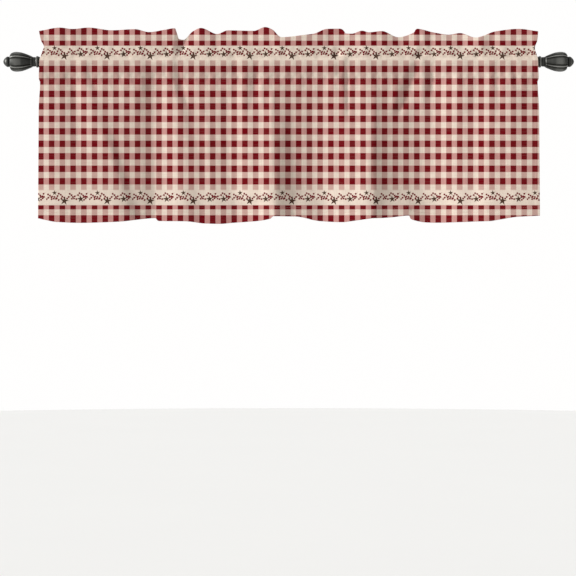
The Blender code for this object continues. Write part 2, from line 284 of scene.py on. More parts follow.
def smooth_through(knots, values, at):
    """The smooth curve through the knots, which never swings past them."""
    steps = np.diff(knots)
    rises = np.diff(values) / steps
    before, after = rises[:-1], rises[1:]
    both = before * after > 0
    total = np.where(both, before + after, 1.0)
    inner = np.where(both, 2 * before * after / total, 0.0)
    slopes = np.concatenate([rises[:1], inner, rises[-1:]])
    i = np.clip(np.searchsorted(knots, at, side="right") - 1, 0, len(steps) - 1)
    t = (at - knots[i]) / steps[i]
    ends = (1 + 2 * t) * (1 - t) ** 2 * values[i] + t**2 * (3 - 2 * t) * values[i + 1]
    return ends + steps[i] * t * (1 - t) * ((1 - t) * slopes[i] - t * slopes[i + 1])


def fade(low, high, at):
    """0 at low and before it, 1 at high and past it, smooth between."""
    t = np.clip((at - low) / (high - low), 0.0, 1.0)
    return t * t * (3 - 2 * t)


def bell(distance, half_width):
    """1 at no distance, dying out smoothly past the half width."""
    return np.exp(-((distance / half_width) ** 2))


def cloth_columns():
    """The places along the rod where the cloth has a column of points, close at the side hems."""
    ends = column_of(CREASES, "x_top")[[0, -1]]
    side = np.array(SIDE_COLUMNS) * MM
    middle = np.linspace(ends[0] + side[-1], ends[1] - side[-1], COLUMNS)
    return np.concatenate([ends[0] + side[:-1], middle, (ends[1] - side[:-1])[::-1]])


def skirt(along, drop):
    """The skirt's middle surface, from the low row of stitches at 0 to the hem at 1."""
    tops = column_of(CREASES, "x_top")
    foot = smooth_through(tops, column_of(CREASES, "x_foot"), along)
    lap = smooth_through(tops, column_of(CREASES, "lap"), along)
    near = smooth_through(tops, column_of(CREASES, "y_top"), along)
    far = smooth_through(tops, column_of(CREASES, "y_foot"), along)
    hem = smooth_through(tops, column_of(CREASES, "z_foot"), along)
    growth = smooth_through(tops, column_of(CREASES, "growth") / MM, along)
    step = fade(0.0, SIDE_STEP_AT, drop) * (1 - fade(SIDE_STEP_AT, SIDE_STEP_GONE, drop))
    left = np.exp(-(along - along[0]) / SIDE_STEP_REACH)
    right = np.exp(-(along[-1] - along) / SIDE_STEP_REACH)
    return np.stack(
        [
            along
            + (foot - along) * drop
            + lap * drop**LAP_GROWTH
            + SIDE_STEP * step * (left - right),
            near + (far - near) * drop**growth,
            LOW_SEAM + (hem - LOW_SEAM) * drop,
        ],
        axis=1,
    )


def drawn_in(along, height):
    """How far the cloth is shifted along the rod at a height, near its two ends."""
    left, right = (
        smooth_through(heights, shifts, np.clip(height, heights[0], heights[-1]))
        for heights, shifts in (np.array(DRAWN_IN[end]).T * MM for end in ("left", "right"))
    )
    from_left, from_right = along - along[0], along[-1] - along
    return left * np.exp(-from_left / DRAWN_IN_REACH) - right * np.exp(
        -from_right / DRAWN_IN_REACH
    )


def heading(along, rise):
    """The ruffle's middle surface, from the top row of stitches at 0 to its folded edge at 1."""
    at = column_of(RUFFLES, "x")
    edge_y = smooth_through(at, column_of(RUFFLES, "y"), along)
    edge_z = smooth_through(at, column_of(RUFFLES, "z"), along)
    lean = RUFFLE_AT_SEAM + (1 - RUFFLE_AT_SEAM) * rise**RUFFLE_LEAN
    height = TOP_SEAM + (edge_z - FOLD_RADIUS - TOP_SEAM) * rise
    return np.stack([along + drawn_in(along, height), edge_y * lean, height], axis=1)


def pocket_touch(seam):
    """The point (depth, height) where a taut layer from this seam meets the rod's circle."""
    reach = math.hypot(SEAM_HALF_GAP, seam)
    side = math.acos(POCKET_RADIUS / reach)
    turn = math.atan2(seam, SEAM_HALF_GAP) - math.copysign(side, seam)
    return POCKET_RADIUS * math.cos(turn), POCKET_RADIUS * math.sin(turn)


def towards_seam(height, seam):
    """How far a taut layer stands from the middle, between the rod and a seam."""
    depth, touch = pocket_touch(seam)
    share = (height - touch) / (seam - touch)
    return depth + (SEAM_HALF_GAP - depth) * share


def pocket_half_depth(height):
    """How far each layer stands from the rod's axis: taut round the rod, straight to the seams."""
    if height > pocket_touch(TOP_SEAM)[1]:
        return towards_seam(height, TOP_SEAM)
    if height < pocket_touch(LOW_SEAM)[1]:
        return towards_seam(height, LOW_SEAM)
    return math.sqrt(POCKET_RADIUS**2 - height**2)


def pocket(along, height, side):
    """One layer of the pocket: side is -1 at the front and 1 at the back."""
    gathers = skirt(along, 0.0)[:, 1]
    ruffles = heading(along, 0.0)[:, 1]
    outward = (side * gathers - np.min(side * gathers)) * GATHERS_OVER_ROD
    low = fade(-ROD_REACH, LOW_SEAM, height)
    high = fade(ROD_RADIUS, TOP_SEAM, height)
    sway = gathers * low + ruffles * high + side * outward * (1 - low - high)
    depth = side * pocket_half_depth(height) + sway
    across = along + drawn_in(along, height)
    return np.stack([across, depth, np.full_like(along, height)], axis=1)


def beside(surface, distance, lift=0.0):
    """The surface's row moved along its own level normal, towards the back if positive."""
    run = np.gradient(surface[:, :2], axis=0)
    run /= np.linalg.norm(run, axis=1, keepdims=True)
    moved = surface.copy()
    moved[:, 0] -= run[:, 1] * distance
    moved[:, 1] += run[:, 0] * distance
    moved[:, 2] += lift
    return moved


def heading_half_gap(rise):
    """How far each of the heading's layers stands from the surface between them."""
    swell = HEADING_PUFF * math.sin(math.pi * rise)
    return SEAM_HALF_GAP + (FOLD_RADIUS - SEAM_HALF_GAP) * rise + swell


def cloth_rows(along):
    """The sheet's rows of points, up the front from the hem, over the top and down the back.

    Also each row's name, for the hems and stitches that lie on it.
    """
    drop_of_hem = (LOW_SEAM - column_of(CREASES, "z_foot").mean()) / MM
    drops = [1 - distance / drop_of_hem for distance in HEM_ROWS]
    drops += list(np.linspace(drops[-1], 0.0, SKIRT_ROWS + 1)[1:-1])
    rises = np.linspace(0.0, 1.0, HEADING_ROWS + 1)[1:]
    rows = [("skirt", beside(skirt(along, drop), -SEAM_HALF_GAP)) for drop in drops]
    rows += [("front", pocket(along, height * MM, -1)) for height in POCKET_HEIGHTS]
    rows += [("front", beside(heading(along, rise), -heading_half_gap(rise))) for rise in rises]
    for turn in TOP_FOLD_TURNS:
        out = -FOLD_RADIUS * math.cos(math.radians(turn))
        up = FOLD_RADIUS * math.sin(math.radians(turn))
        rows.append(("top", beside(heading(along, 1.0), out, up)))
    rows += [
        ("back", beside(heading(along, rise), heading_half_gap(rise)))
        for rise in reversed(rises)
    ]
    rows += [("back", pocket(along, height * MM, 1)) for height in reversed(POCKET_HEIGHTS)]
    for share in (0.5, 1.0):
        drop = share * TURN_IN / (drop_of_hem * MM)
        rows.append(("back", beside(skirt(along, drop), SEAM_HALF_GAP)))
    return [name for name, _ in rows], np.array([row for _, row in rows])


def tucked(points):
    """The rows of points with the tucks and puckers pressed into both of the cloth's layers."""
    x, z = points[:, :, 0], points[:, :, 2]
    dips = np.zeros_like(x)
    for tuck in TUCKS:
        top, foot = tuck.z_top * MM, tuck.z_foot * MM
        share = (top - z) / (top - foot)
        middle = (tuck.x_top + (tuck.x_foot - tuck.x_top) * np.clip(share, 0, 1)) * MM
        ends = fade(0.0, TUCK_FADES[0], share) * (1 - fade(TUCK_FADES[1], 1.0, share))
        dips += tuck.dip * MM * bell(x - middle, tuck.half_width * MM) * ends
    near = np.minimum(abs(z - TOP_SEAM), abs(z - LOW_SEAM))
    strength = PUCKER_AWAY + (1 - PUCKER_AWAY) * bell(near, PUCKER_REACH)
    waves = sum(
        pucker.height
        * np.sin(2 * math.pi * (x + pucker.lean * z) / (pucker.length * MM) + pucker.phase)
        for pucker in PUCKERS
    )
    dips = (dips + waves * MM * strength) * (1 - HELD_BY_ROD * bell(z, ROD_RADIUS))
    moved = points.copy()
    moved[:, :, 1] = kept_off_rod(points[:, :, 1], dips, z)
    return moved


def kept_off_rod(depths, dips, heights):
    """The depths with the dips added, but no nearer the rod's axis than the cloth may lie."""
    side = np.sign(depths)
    pressed = side * (depths + dips)
    nearest = np.sqrt(np.maximum(CLOSE_ON_ROD**2 - heights**2, 0.0))
    return side * np.where(nearest > 0, np.maximum(pressed, nearest), pressed)


def outward(points):
    """Unit normals of the grid of points, away from the rod's side of the cloth."""
    across = np.gradient(points, axis=1)
    up = np.gradient(points, axis=0)
    normals = np.cross(across, up)
    return normals / np.maximum(np.linalg.norm(normals, axis=2, keepdims=True), 1e-12)


def from_hem(points):
    """How far each point is from the hem's edge, along its column, and from the nearer side."""
    steps = np.linalg.norm(np.diff(points, axis=0), axis=2)
    up = np.concatenate([np.zeros((1, points.shape[1])), np.cumsum(steps, axis=0)])
    steps = np.linalg.norm(np.diff(points, axis=1), axis=2)
    along = np.concatenate([np.zeros((points.shape[0], 1)), np.cumsum(steps, axis=1)], axis=1)
    return up, np.minimum(along, along[:, -1:] - along)


def raised(points, names):
    """The outer face with its hems standing proud and the rows of stitches pulled in."""
    up, in_from_side = from_hem(points)
    skirt_only = np.array([name == "skirt" for name in names])[:, None]
    hem = np.where(skirt_only, 1 - fade(HEM_DEPTH, HEM_DEPTH + HEM_STEP, up), 0.0)
    side = 1 - fade(SIDE_HEM_WIDTH, SIDE_HEM_WIDTH + SIDE_HEM_STEP, in_from_side)
    proud = HEM_PROUD * np.maximum(hem, side)
    dent = STITCH_DENT * (
        bell(points[:, :, 2] - TOP_SEAM, STITCH_DENT_REACH)
        + bell(points[:, :, 2] - LOW_SEAM, STITCH_DENT_REACH)
        + np.where(skirt_only, bell(up - HEM_DEPTH, STITCH_DENT_REACH), 0.0)
    )
    return points + outward(points) * (proud - dent)[:, :, None]


def print_places(points, names):
    """Where each point lies on the printed cloth: x along the rod, and z unrolled over the top.

    The print is set out flat, as the folds look from the eye. Behind the top fold it eases, so
    that it runs level along the hem of the back layer.
    """
    nearer = EYE[1] / (EYE[1] - points[:, :, 1])
    x = EYE[0] + (points[:, :, 0] - EYE[0]) * nearer
    z = EYE[2] + (points[:, :, 2] - EYE[2]) * nearer
    first = names.index("top")
    steps = np.linalg.norm(np.diff(points[first - 1 :], axis=0), axis=2)
    unrolled = np.cumsum(steps, axis=0)
    fold = z[first - 1]
    hem = (fold + unrolled[-1]).mean()
    z[first:] = fold + (hem - fold) * unrolled / unrolled[-1]
    return np.stack([x, z], axis=2)


def grid_faces(rows, columns, wrap_columns=False):
    """Quads over a grid of points numbered row by row, as an array of corners."""
    r = np.arange(rows - 1)[:, None] * columns
    c = np.arange(columns if wrap_columns else columns - 1)[None, :]
    right = (c + 1) % columns
    return np.stack(
        [r + c, r + right, r + columns + right, r + columns + c], axis=2
    ).reshape(-1, 4)


def rim_loop(rows, columns):
    """The grid's border, as point numbers that run round it once."""
    bottom = np.arange(columns)
    right = np.arange(1, rows) * columns + columns - 1
    top = (rows - 1) * columns + np.arange(columns - 1)[::-1]
    left = np.arange(rows - 1)[::-1] * columns
    return np.concatenate([bottom, right, top, left[:-1]])


def new_object(name, points, faces, materials):
    """A smooth-shaded mesh object in the scene."""
    mesh = bpy.data.meshes.new(name)
    mesh.from_pydata(np.asarray(points).tolist(), [], [tuple(face) for face in faces])
    for material in materials:
        mesh.materials.append(material)
    mesh.shade_smooth()
    item = bpy.data.objects.new(name, mesh)
    bpy.context.scene.collection.objects.link(item)
    return item


def add_map(mesh, name, corner_places):
    """A UV map with a place for each corner of each face."""
    layer = mesh.uv_layers.new(name=name)
    layer.uv.foreach_set("vector", np.asarray(corner_places, np.float32).ravel())


# Where the cloth's faces lie on the map that their colours are baked to.
BAKE_MARGIN = 0.004
OUTER_ON_MAP = (0.0, 0.66)
INNER_ON_MAP = (0.68, 1.0)
RIM_ON_MAP = (0.664, 0.674)


def bake_places(rows, columns, band):
    """Each grid point's place on the bake's map, inside a band of its height."""
    across = np.linspace(BAKE_MARGIN, 1 - BAKE_MARGIN, columns)
    up = np.linspace(band[0] + BAKE_MARGIN, band[1] - BAKE_MARGIN, rows)
    return np.stack(np.meshgrid(across, up), axis=2).reshape(-1, 2)


def bake_corners(rows, columns, grid, rim):
    """The place on the bake's map of each corner of the outer faces, inner faces and rim."""
    outer = bake_places(rows, columns, OUTER_ON_MAP)[grid.reshape(-1)]
    inner = bake_places(rows, columns, INNER_ON_MAP)[grid[:, ::-1].reshape(-1)]
    left = np.arange(len(rim)) / len(rim)
    right = left + 1 / len(rim)
    low = np.full(len(rim), RIM_ON_MAP[0])
    high = np.full(len(rim), RIM_ON_MAP[1])
    across = np.stack([left, left, right, right], axis=1)
    up = np.stack([low, high, high, low], axis=1)
    return np.concatenate([outer, inner, np.stack([across, up], axis=2).reshape(-1, 2)])


def make_cloth(face_material, wrong_side_material):
    """The whole sheet, with the names and outer points of its rows for the stitches."""
    names, middle = cloth_rows(cloth_columns())
    middle = tucked(middle)
    rows, columns = middle.shape[:2]
    places = print_places(middle, names).reshape(-1, 2)
    half = outward(middle) * CLOTH_THICKNESS / 2
    outer = raised(middle + half, names)
    inner = middle - half
    grid = grid_faces(rows, columns)
    loop = rim_loop(rows, columns)
    after = np.roll(loop, -1)
    count = rows * columns
    rim = np.stack([loop, loop + count, after + count, after], axis=1)
    faces = np.concatenate([grid, grid[:, ::-1] + count, rim])
    cloth = new_object(
        "valance_cloth",
        np.concatenate([outer.reshape(-1, 3), inner.reshape(-1, 3)]),
        faces,
        [face_material, wrong_side_material],
    )
    slots = np.zeros(len(faces), np.int32)
    slots[len(grid) : 2 * len(grid)] = 1
    cloth.data.polygons.foreach_set("material_index", slots)
    add_map(cloth.data, "Print", np.concatenate([places, places])[faces.reshape(-1)])
    add_map(cloth.data, "OFBake", bake_corners(rows, columns, grid, rim))
    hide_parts("valance")
    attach(cloth, "root")
    return cloth, names, outer


# ---- stitches

STITCH_LENGTH = 3.0 * MM
STITCH_PITCH = 4.2 * MM
STITCH_RADIUS = 0.22 * MM
STITCH_SUNK = 0.06 * MM
STITCH_SIDES = 6
UP = np.array([0.0, 0.0, 1.0])
# Along a stitch: where each ring is, as a share of its length, and how thick it is there.
STITCH_RINGS = ((-0.5, 0.35), (-0.38, 0.9), (0.0, 1.0), (0.38, 0.9), (0.5, 0.35))


def sewn_lines(names, outer):
    """The outer face's sewn lines: both pocket seams on each layer, and the hem.

    With each goes 1 where that layer faces the front, or -1 where it faces the back.
    """
    heights = outer[:, :, 2].mean(axis=1)
    lines = []
    for layer, facing in (("front", 1.0), ("back", -1.0)):
        rows = [i for i, name in enumerate(names) if name == layer]
        for seam in (TOP_SEAM, LOW_SEAM):
            nearest = min(rows, key=lambda i: abs(heights[i] - seam))
            lines.append((outer[nearest], facing))
    lines.append((outer[HEM_ROWS.index(HEM_SEAM)], 1.0))
    return lines


def stitches_along(line, facing):
    """The points of every stitch on a line, as rings round short capsules, and their number."""
    steps = np.linalg.norm(np.diff(line, axis=0), axis=1)
    path = np.concatenate([[0.0], np.cumsum(steps)])
    middles = np.arange(STITCH_PITCH, path[-1] - STITCH_PITCH, STITCH_PITCH)
    at = np.stack([np.interp(middles, path, line[:, k]) for k in range(3)], axis=1)
    ahead = np.stack(
        [np.interp(middles + STITCH_LENGTH / 2, path, line[:, k]) for k in range(3)], axis=1
    )
    run = ahead - at
    run /= np.linalg.norm(run, axis=1, keepdims=True)
    out = np.cross(run, UP) * facing
    out /= np.linalg.norm(out, axis=1, keepdims=True)
    side = np.cross(run, out)
    points = []
    for share, thick in STITCH_RINGS:
        for k in range(STITCH_SIDES):
            turn = 2 * math.pi * k / STITCH_SIDES
            round_it = out * math.cos(turn) + side * math.sin(turn)
            points.append(
                at
                + run * share * STITCH_LENGTH
                + round_it * STITCH_RADIUS * thick
                - out * STITCH_SUNK
            )
    return np.stack(points, axis=1).reshape(-1, 3), len(middles)


def make_stitches(names, outer, material):
    """Every row of stitches as one piece."""
    one = [tuple(face) for face in grid_faces(len(STITCH_RINGS), STITCH_SIDES, wrap_columns=True)]
    corners = len(STITCH_RINGS) * STITCH_SIDES
    one.append(tuple(range(STITCH_SIDES))[::-1])
    one.append(tuple(range(corners - STITCH_SIDES, corners)))
    points = []
    faces = []
    stitches = 0
    for line, facing in sewn_lines(names, outer):
        found, count = stitches_along(line, facing)
        points.append(found)
        for stitch in range(stitches, stitches + count):
            faces += [tuple(stitch * corners + k for k in face) for face in one]
        stitches += count
    item = new_object("stitching", np.concatenate(points), faces, [material])
    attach(item, "root")
    return item


# ---- materials

# A Mix node's colour sockets, which share their names with its other kinds of socket.
MIX_FACTOR, MIX_A, MIX_B, MIX_RESULT = 0, 6, 7, 2


class Nodes:
    """Adds nodes to one tree. An input is a number, a tuple or another node's output."""

    def __init__(self, tree):
        self.tree = tree

    def add(self, kind, inputs=None, output=0, **settings):
        node = self.tree.nodes.new(kind)
        for name, value in settings.items():
            setattr(node, name, value)
        for socket, value in (inputs or {}).items():
            if isinstance(value, bpy.types.NodeSocket):
                self.tree.links.new(value, node.inputs[socket])
            else:
                node.inputs[socket].default_value = value
        return node.outputs[output]

    def math(self, operation, *values):
        return self.add("ShaderNodeMath", dict(enumerate(values)), operation=operation)

    def plus(self, a, b):
        return self.math("ADD", a, b)

    def minus(self, a, b):
        return self.math("SUBTRACT", a, b)

    def times(self, a, b):
        return self.math("MULTIPLY", a, b)

    def either(self, *masks):
        """The strongest of some masks."""
        found = masks[0]
        for mask in masks[1:]:
            found = self.math("MAXIMUM", found, mask)
        return found

    def ramp(self, value, low, high, start=0.0, end=1.0):
        """From start to end, smoothly, while the value goes from low to high."""
        inputs = {0: value, 1: low, 2: high, 3: start, 4: end}
        return self.add("ShaderNodeMapRange", inputs, interpolation_type="SMOOTHSTEP")

    def under(self, value, limit, soft):
        """1 where the value is under the limit."""
        return self.ramp(value, limit + soft, limit - soft)

    def band(self, value, low, high, soft):
        """1 where the value lies between low and high."""
        above = self.ramp(value, low - soft, low + soft)
        return self.times(above, self.under(value, high, soft))

    def mix(self, share, first, second):
        """The first colour where the share is 0, and the second where it is 1."""
        inputs = {MIX_FACTOR: share, MIX_A: opaque(first), MIX_B: opaque(second)}
        return self.add("ShaderNodeMix", inputs, MIX_RESULT, data_type="RGBA")

    def noise(self, place, scales, detail=2.0):
        """A noise from 0 to 1, at so many wiggles a metre along each axis."""
        scaled = self.add("ShaderNodeVectorMath", {0: place, 1: scales}, operation="MULTIPLY")
        return self.add("ShaderNodeTexNoise", {"Vector": scaled, "Scale": 1.0, "Detail": detail})


def opaque(colour):
    """A plain colour with its alpha, or a node's output as it is."""
    return (*colour, 1.0) if isinstance(colour, tuple) else colour


def new_material(name, **shader_values):
    """An empty material's nodes and its shader, with plain values set on the shader itself."""
    material = bpy.data.materials.new(name)
    material.use_nodes = True
    shader = material.node_tree.nodes["Principled BSDF"]
    for socket, value in shader_values.items():
        shader.inputs[socket.replace("_", " ")].default_value = value
    return material, Nodes(material.node_tree), shader


def link(nodes, value, shader, socket):
    """Drives one of the shader's sockets with a node's output."""
    nodes.tree.links.new(value, shader.inputs[socket])


# The check: dark columns across the whole width, and dark rows in the field between the two plain
# strips. A bar is a dark row beyond the field, from its lower to its upper edge. Behind the top
# fold the dark rows go on.
COLUMN_PITCH = 25.99 * MM
COLUMN_AT = -599.5 * MM
COLUMN_HALF = 6.75 * MM
ROW_PITCH = 30.20 * MM
ROW_AT = -17.33 * MM
ROW_HALF = 7.85 * MM
FIELD = (-310.2 * MM, 3.4 * MM)
Strip = namedtuple("Strip", "low high")
TOP_STRIP = Strip(3.4 * MM, 38.9 * MM)
LOW_STRIP = Strip(-347.0 * MM, -310.2 * MM)
BETWEEN_STRIPS = -150.0 * MM
ROW_BARS = ((65.3, 88.0), (38.9, 51.2), (-357.2, -347.0), (-410.0, -371.2))
BACK_ROWS_FROM = 95.0 * MM
BACK_ROW_AT = 110.9 * MM
EDGE_SOFT = 0.45 * MM
FIELD_SOFT = 2.0 * MM

# The threads: how many slubs and bumps a metre they have across and up the cloth, and how much
# they break up the dyed colours and the cloth's shade.
WARP_SLUBS = (620.0, 26.0, 1.0)
WEFT_SLUBS = (22.0, 620.0, 1.0)
WARP_BUMPS = (1500.0, 160.0, 1.0)
WEFT_BUMPS = (160.0, 1500.0, 1.0)
WEAVE_BUMP = {"Strength": 0.35, "Distance": 0.25 * MM}
WEAVE_ROUGHNESS = (0.80, 0.95)
DYE_TAKEN = (0.93, 1.05)
WARP_SHADE = (0.93, 1.07)
WEFT_SHADE = (0.94, 1.06)

CREAM = (0.600, 0.505, 0.425)
DARK_COLUMN = (0.425, 0.272, 0.235)
DARK_ROW = (0.420, 0.212, 0.192)
BURGUNDY = (0.120, 0.0016, 0.0045)
BERRY = (0.130, 0.008, 0.012)
TWIG = (0.100, 0.040, 0.024)
STAR_LIGHT = (0.088, 0.048, 0.032)
STAR_DARK = (0.034, 0.017, 0.011)
WRONG_SIDE = (0.70, 0.63, 0.56)
WRONG_SIDE_COVER = 0.6

# The border's repeat, which starts again at a join, with its own start and stretch on each side.
# Stars and sprigs are measured across from the repeat's start and up from the strip's lower edge.
REPEAT = 103.96 * MM
JOIN_AT = -174.0 * MM
REPEAT_FROM = (-586.6 * MM, -137.0 * MM)
REPEAT_STRETCH = (1.0, 1.02)
Star = namedtuple("Star", "x y reach turn")
STARS = (
    Star(20.0, 29.8, 7.0, 4),
    Star(44.0, 10.4, 11.2, -8),
    Star(83.3, 15.0, 9.2, 6),
)
STAR_POINTS = 5
STAR_WAIST = 0.37
STAR_RIDGE_SOFT = 0.35
# Short sprigs of berries: where each one's first berry is, which way it runs and how many it has.
Sprig = namedtuple("Sprig", "x y turn berries")
SPRIGS = (
    Sprig(1.0, 14.5, 32, 2),
    Sprig(4.5, 26.0, -40, 3),
    Sprig(13.0, 14.5, 4, 3),
    Sprig(14.5, 21.0, -20, 2),
    Sprig(25.5, 17.0, 62, 2),
    Sprig(30.5, 28.0, -40, 4),
    Sprig(30.0, 12.5, 30, 1),
    Sprig(37.0, 16.5, 60, 1),
    Sprig(50.5, 16.0, 36, 2),
    Sprig(57.0, 27.5, -46, 3),
    Sprig(62.0, 15.5, -4, 3),
    Sprig(69.0, 21.5, 24, 1),
    Sprig(77.0, 24.5, -52, 1),
    Sprig(80.5, 29.0, -31, 4),
    Sprig(91.5, 13.0, 34, 2),
    Sprig(91.0, 19.5, 0, 1),
    Sprig(97.5, 27.5, 30, 1),
    Sprig(98.5, 20.5, -40, 1),
)
BERRY_RADIUS = 2.25 * MM
BERRY_PITCH = 5.4 * MM
BERRY_ZIGZAG = 0.9 * MM
TWIG_HALF = 0.35 * MM
PRINT_SOFT = 0.25 * MM


def star_masks(nodes, x, y, star):
    """Where a five-pointed star is, and where the lit side of each of its points is."""
    half_point = math.pi / STAR_POINTS
    turn = math.radians(star.turn)
    dx = nodes.minus(x, star.x * MM)
    dy = nodes.minus(y, star.y * MM)
    angle = nodes.plus(nodes.math("ARCTAN2", dx, dy), turn)
    squared = nodes.plus(nodes.times(dx, dx), nodes.times(dy, dy))
    radius = nodes.math("SQRT", squared)
    folded = nodes.math("PINGPONG", angle, half_point)
    along = nodes.times(radius, nodes.math("COSINE", folded))
    off = nodes.times(radius, nodes.math("SINE", folded))
    reach = star.reach * MM
    waist = reach * STAR_WAIST
    corner = (waist * math.cos(half_point), waist * math.sin(half_point))
    length = math.hypot(corner[0] - reach, corner[1])
    normal = (corner[1] / length, (reach - corner[0]) / length)
    outside = nodes.plus(
        nodes.times(nodes.minus(along, reach), normal[0]), nodes.times(off, normal[1])
    )
    across_point = nodes.math("SINE", nodes.times(angle, float(STAR_POINTS)))
    lit = nodes.ramp(across_point, -STAR_RIDGE_SOFT, STAR_RIDGE_SOFT)
    return nodes.under(outside, 0.0, PRINT_SOFT), lit


def sprig_masks(nodes, place, sprig):
    """Where a sprig's berries are, and where its twig is."""
    inputs = {
        "Vector": place,
        "Location": (sprig.x * MM, sprig.y * MM, 0.0),
        "Rotation": (0.0, 0.0, math.radians(sprig.turn)),
    }
    own = nodes.add("ShaderNodeMapping", inputs, vector_type="TEXTURE")
    along = nodes.add("ShaderNodeSeparateXYZ", {0: own}, "X")
    off = nodes.add("ShaderNodeSeparateXYZ", {0: own}, "Y")
    nearest = nodes.math("ROUND", nodes.times(along, 1 / BERRY_PITCH))
    nearest = nodes.math("MINIMUM", nodes.math("MAXIMUM", nearest, 0.0), sprig.berries - 1.0)
    from_middle = nodes.minus(along, nodes.times(nearest, BERRY_PITCH))
    side = nodes.math("MODULO", nearest, 2.0)
    from_side = nodes.minus(off, nodes.times(side, BERRY_ZIGZAG))
    apart = nodes.math(
        "SQRT",
        nodes.plus(nodes.times(from_side, from_side), nodes.times(from_middle, from_middle)),
    )
    berries = nodes.under(apart, BERRY_RADIUS, PRINT_SOFT)
    within = nodes.band(along, 0.0, sprig.berries * BERRY_PITCH, PRINT_SOFT)
    twig = nodes.under(nodes.math("ABSOLUTE", off), TWIG_HALF, PRINT_SOFT)
    return berries, nodes.times(twig, within)


def in_repeat(nodes, u):
    """How far across the border's repeat a place along the rod is."""
    spans = [
        nodes.times(nodes.minus(u, start), stretch)
        for start, stretch in zip(REPEAT_FROM, REPEAT_STRETCH)
    ]
    past = nodes.math("GREATER_THAN", u, JOIN_AT)
    both = nodes.plus(nodes.times(spans[1], past), nodes.times(spans[0], nodes.minus(1.0, past)))
    return nodes.times(nodes.math("FRACT", nodes.times(both, 1 / REPEAT)), REPEAT)


def border(nodes, u, v, ground):
    """The stars and sprigs of both strips, over the ground colour."""
    x = in_repeat(nodes, u)
    in_low = nodes.math("LESS_THAN", v, BETWEEN_STRIPS)
    lift = TOP_STRIP.low - LOW_STRIP.low
    y = nodes.minus(nodes.plus(v, nodes.times(in_low, lift)), TOP_STRIP.low)
    place = nodes.add("ShaderNodeCombineXYZ", {0: x, 1: y})
    berries, twigs = zip(*(sprig_masks(nodes, place, sprig) for sprig in SPRIGS))
    colour = nodes.mix(nodes.either(*twigs), ground, TWIG)
    colour = nodes.mix(nodes.either(*berries), colour, BERRY)
    for star in STARS:
        inside, lit = star_masks(nodes, x, y, star)
        colour = nodes.mix(inside, colour, nodes.mix(lit, STAR_DARK, STAR_LIGHT))
    return colour


def check_masks(nodes, u, v):
    """Where the check's dark columns are, and where its dark rows are."""
    off_column = nodes.math("PINGPONG", nodes.minus(u, COLUMN_AT), COLUMN_PITCH / 2)
    columns = nodes.under(off_column, COLUMN_HALF, EDGE_SOFT)
    strips = nodes.either(
        *(nodes.band(v, strip.low, strip.high, FIELD_SOFT) for strip in (TOP_STRIP, LOW_STRIP))
    )
    columns = nodes.times(columns, nodes.minus(1.0, strips))
    off_row = nodes.math("PINGPONG", nodes.minus(v, ROW_AT), ROW_PITCH / 2)
    rows = nodes.times(nodes.under(off_row, ROW_HALF, EDGE_SOFT), nodes.band(v, *FIELD, EDGE_SOFT))
    off_back_row = nodes.math("PINGPONG", nodes.minus(v, BACK_ROW_AT), ROW_PITCH / 2)
    back_rows = nodes.times(
        nodes.under(off_back_row, ROW_HALF, EDGE_SOFT),
        nodes.math("GREATER_THAN", v, BACK_ROWS_FROM),
    )
    bars = [nodes.band(v, low * MM, high * MM, EDGE_SOFT) for low, high in ROW_BARS]
    return columns, nodes.either(rows, back_rows, *bars)


def print_group():
    """The printed cloth's colour at a place on it, as a node group."""
    group = bpy.data.node_groups.new("printed_check", "ShaderNodeTree")
    group.interface.new_socket("Place", in_out="INPUT", socket_type="NodeSocketVector")
    group.interface.new_socket("Color", in_out="OUTPUT", socket_type="NodeSocketColor")
    nodes = Nodes(group)
    place = nodes.add("NodeGroupInput")
    u = nodes.add("ShaderNodeSeparateXYZ", {0: place}, "X")
    v = nodes.add("ShaderNodeSeparateXYZ", {0: place}, "Y")
    warp = nodes.noise(place, WARP_SLUBS, 3.0)
    weft = nodes.noise(place, WEFT_SLUBS, 3.0)
    columns, rows = check_masks(nodes, u, v)

    # A dark column shows its warp over cream weft, and a dark row the other way round.
    in_column = nodes.times(columns, nodes.ramp(warp, 0.25, 0.75, *DYE_TAKEN))
    in_row = nodes.times(rows, nodes.ramp(weft, 0.25, 0.75, *DYE_TAKEN))
    half = nodes.mix(in_column, CREAM, DARK_COLUMN)
    full = nodes.mix(columns, DARK_ROW, BURGUNDY)
    colour = border(nodes, u, v, nodes.mix(in_row, half, full))

    warp_shade = nodes.ramp(warp, 0.2, 0.8, *WARP_SHADE)
    weft_shade = nodes.ramp(weft, 0.2, 0.8, *WEFT_SHADE)
    shade = nodes.times(warp_shade, weft_shade)
    toned = nodes.add("ShaderNodeVectorMath", {0: colour, "Scale": shade}, operation="SCALE")
    out = group.nodes.new("NodeGroupOutput")
    group.links.new(toned, out.inputs[0])
    return group


def cloth_material(name, group, wrong_side):
    """One side of the cloth. The wrong side shows the print paler, as it soaks through."""
    material, nodes, shader = new_material(name, Specular_IOR_Level=0.02)
    place = nodes.add("ShaderNodeUVMap", uv_map="Print")
    printed = nodes.tree.nodes.new("ShaderNodeGroup")
    printed.node_tree = group
    nodes.tree.links.new(place, printed.inputs[0])
    colour = printed.outputs[0]
    if wrong_side:
        colour = nodes.mix(WRONG_SIDE_COVER, colour, WRONG_SIDE)
    weave = nodes.plus(nodes.noise(place, WARP_BUMPS), nodes.noise(place, WEFT_BUMPS))
    bump = nodes.add("ShaderNodeBump", {**WEAVE_BUMP, "Height": weave})
    link(nodes, colour, shader, "Base Color")
    link(nodes, bump, shader, "Normal")
    link(nodes, nodes.ramp(weave, 0.6, 1.4, *WEAVE_ROUGHNESS), shader, "Roughness")
    return material


THREAD_DARK = (0.36, 0.16, 0.14)
THREAD_LIGHT = (0.50, 0.30, 0.26)
THREAD_TWIST = (900.0, 900.0, 3000.0)


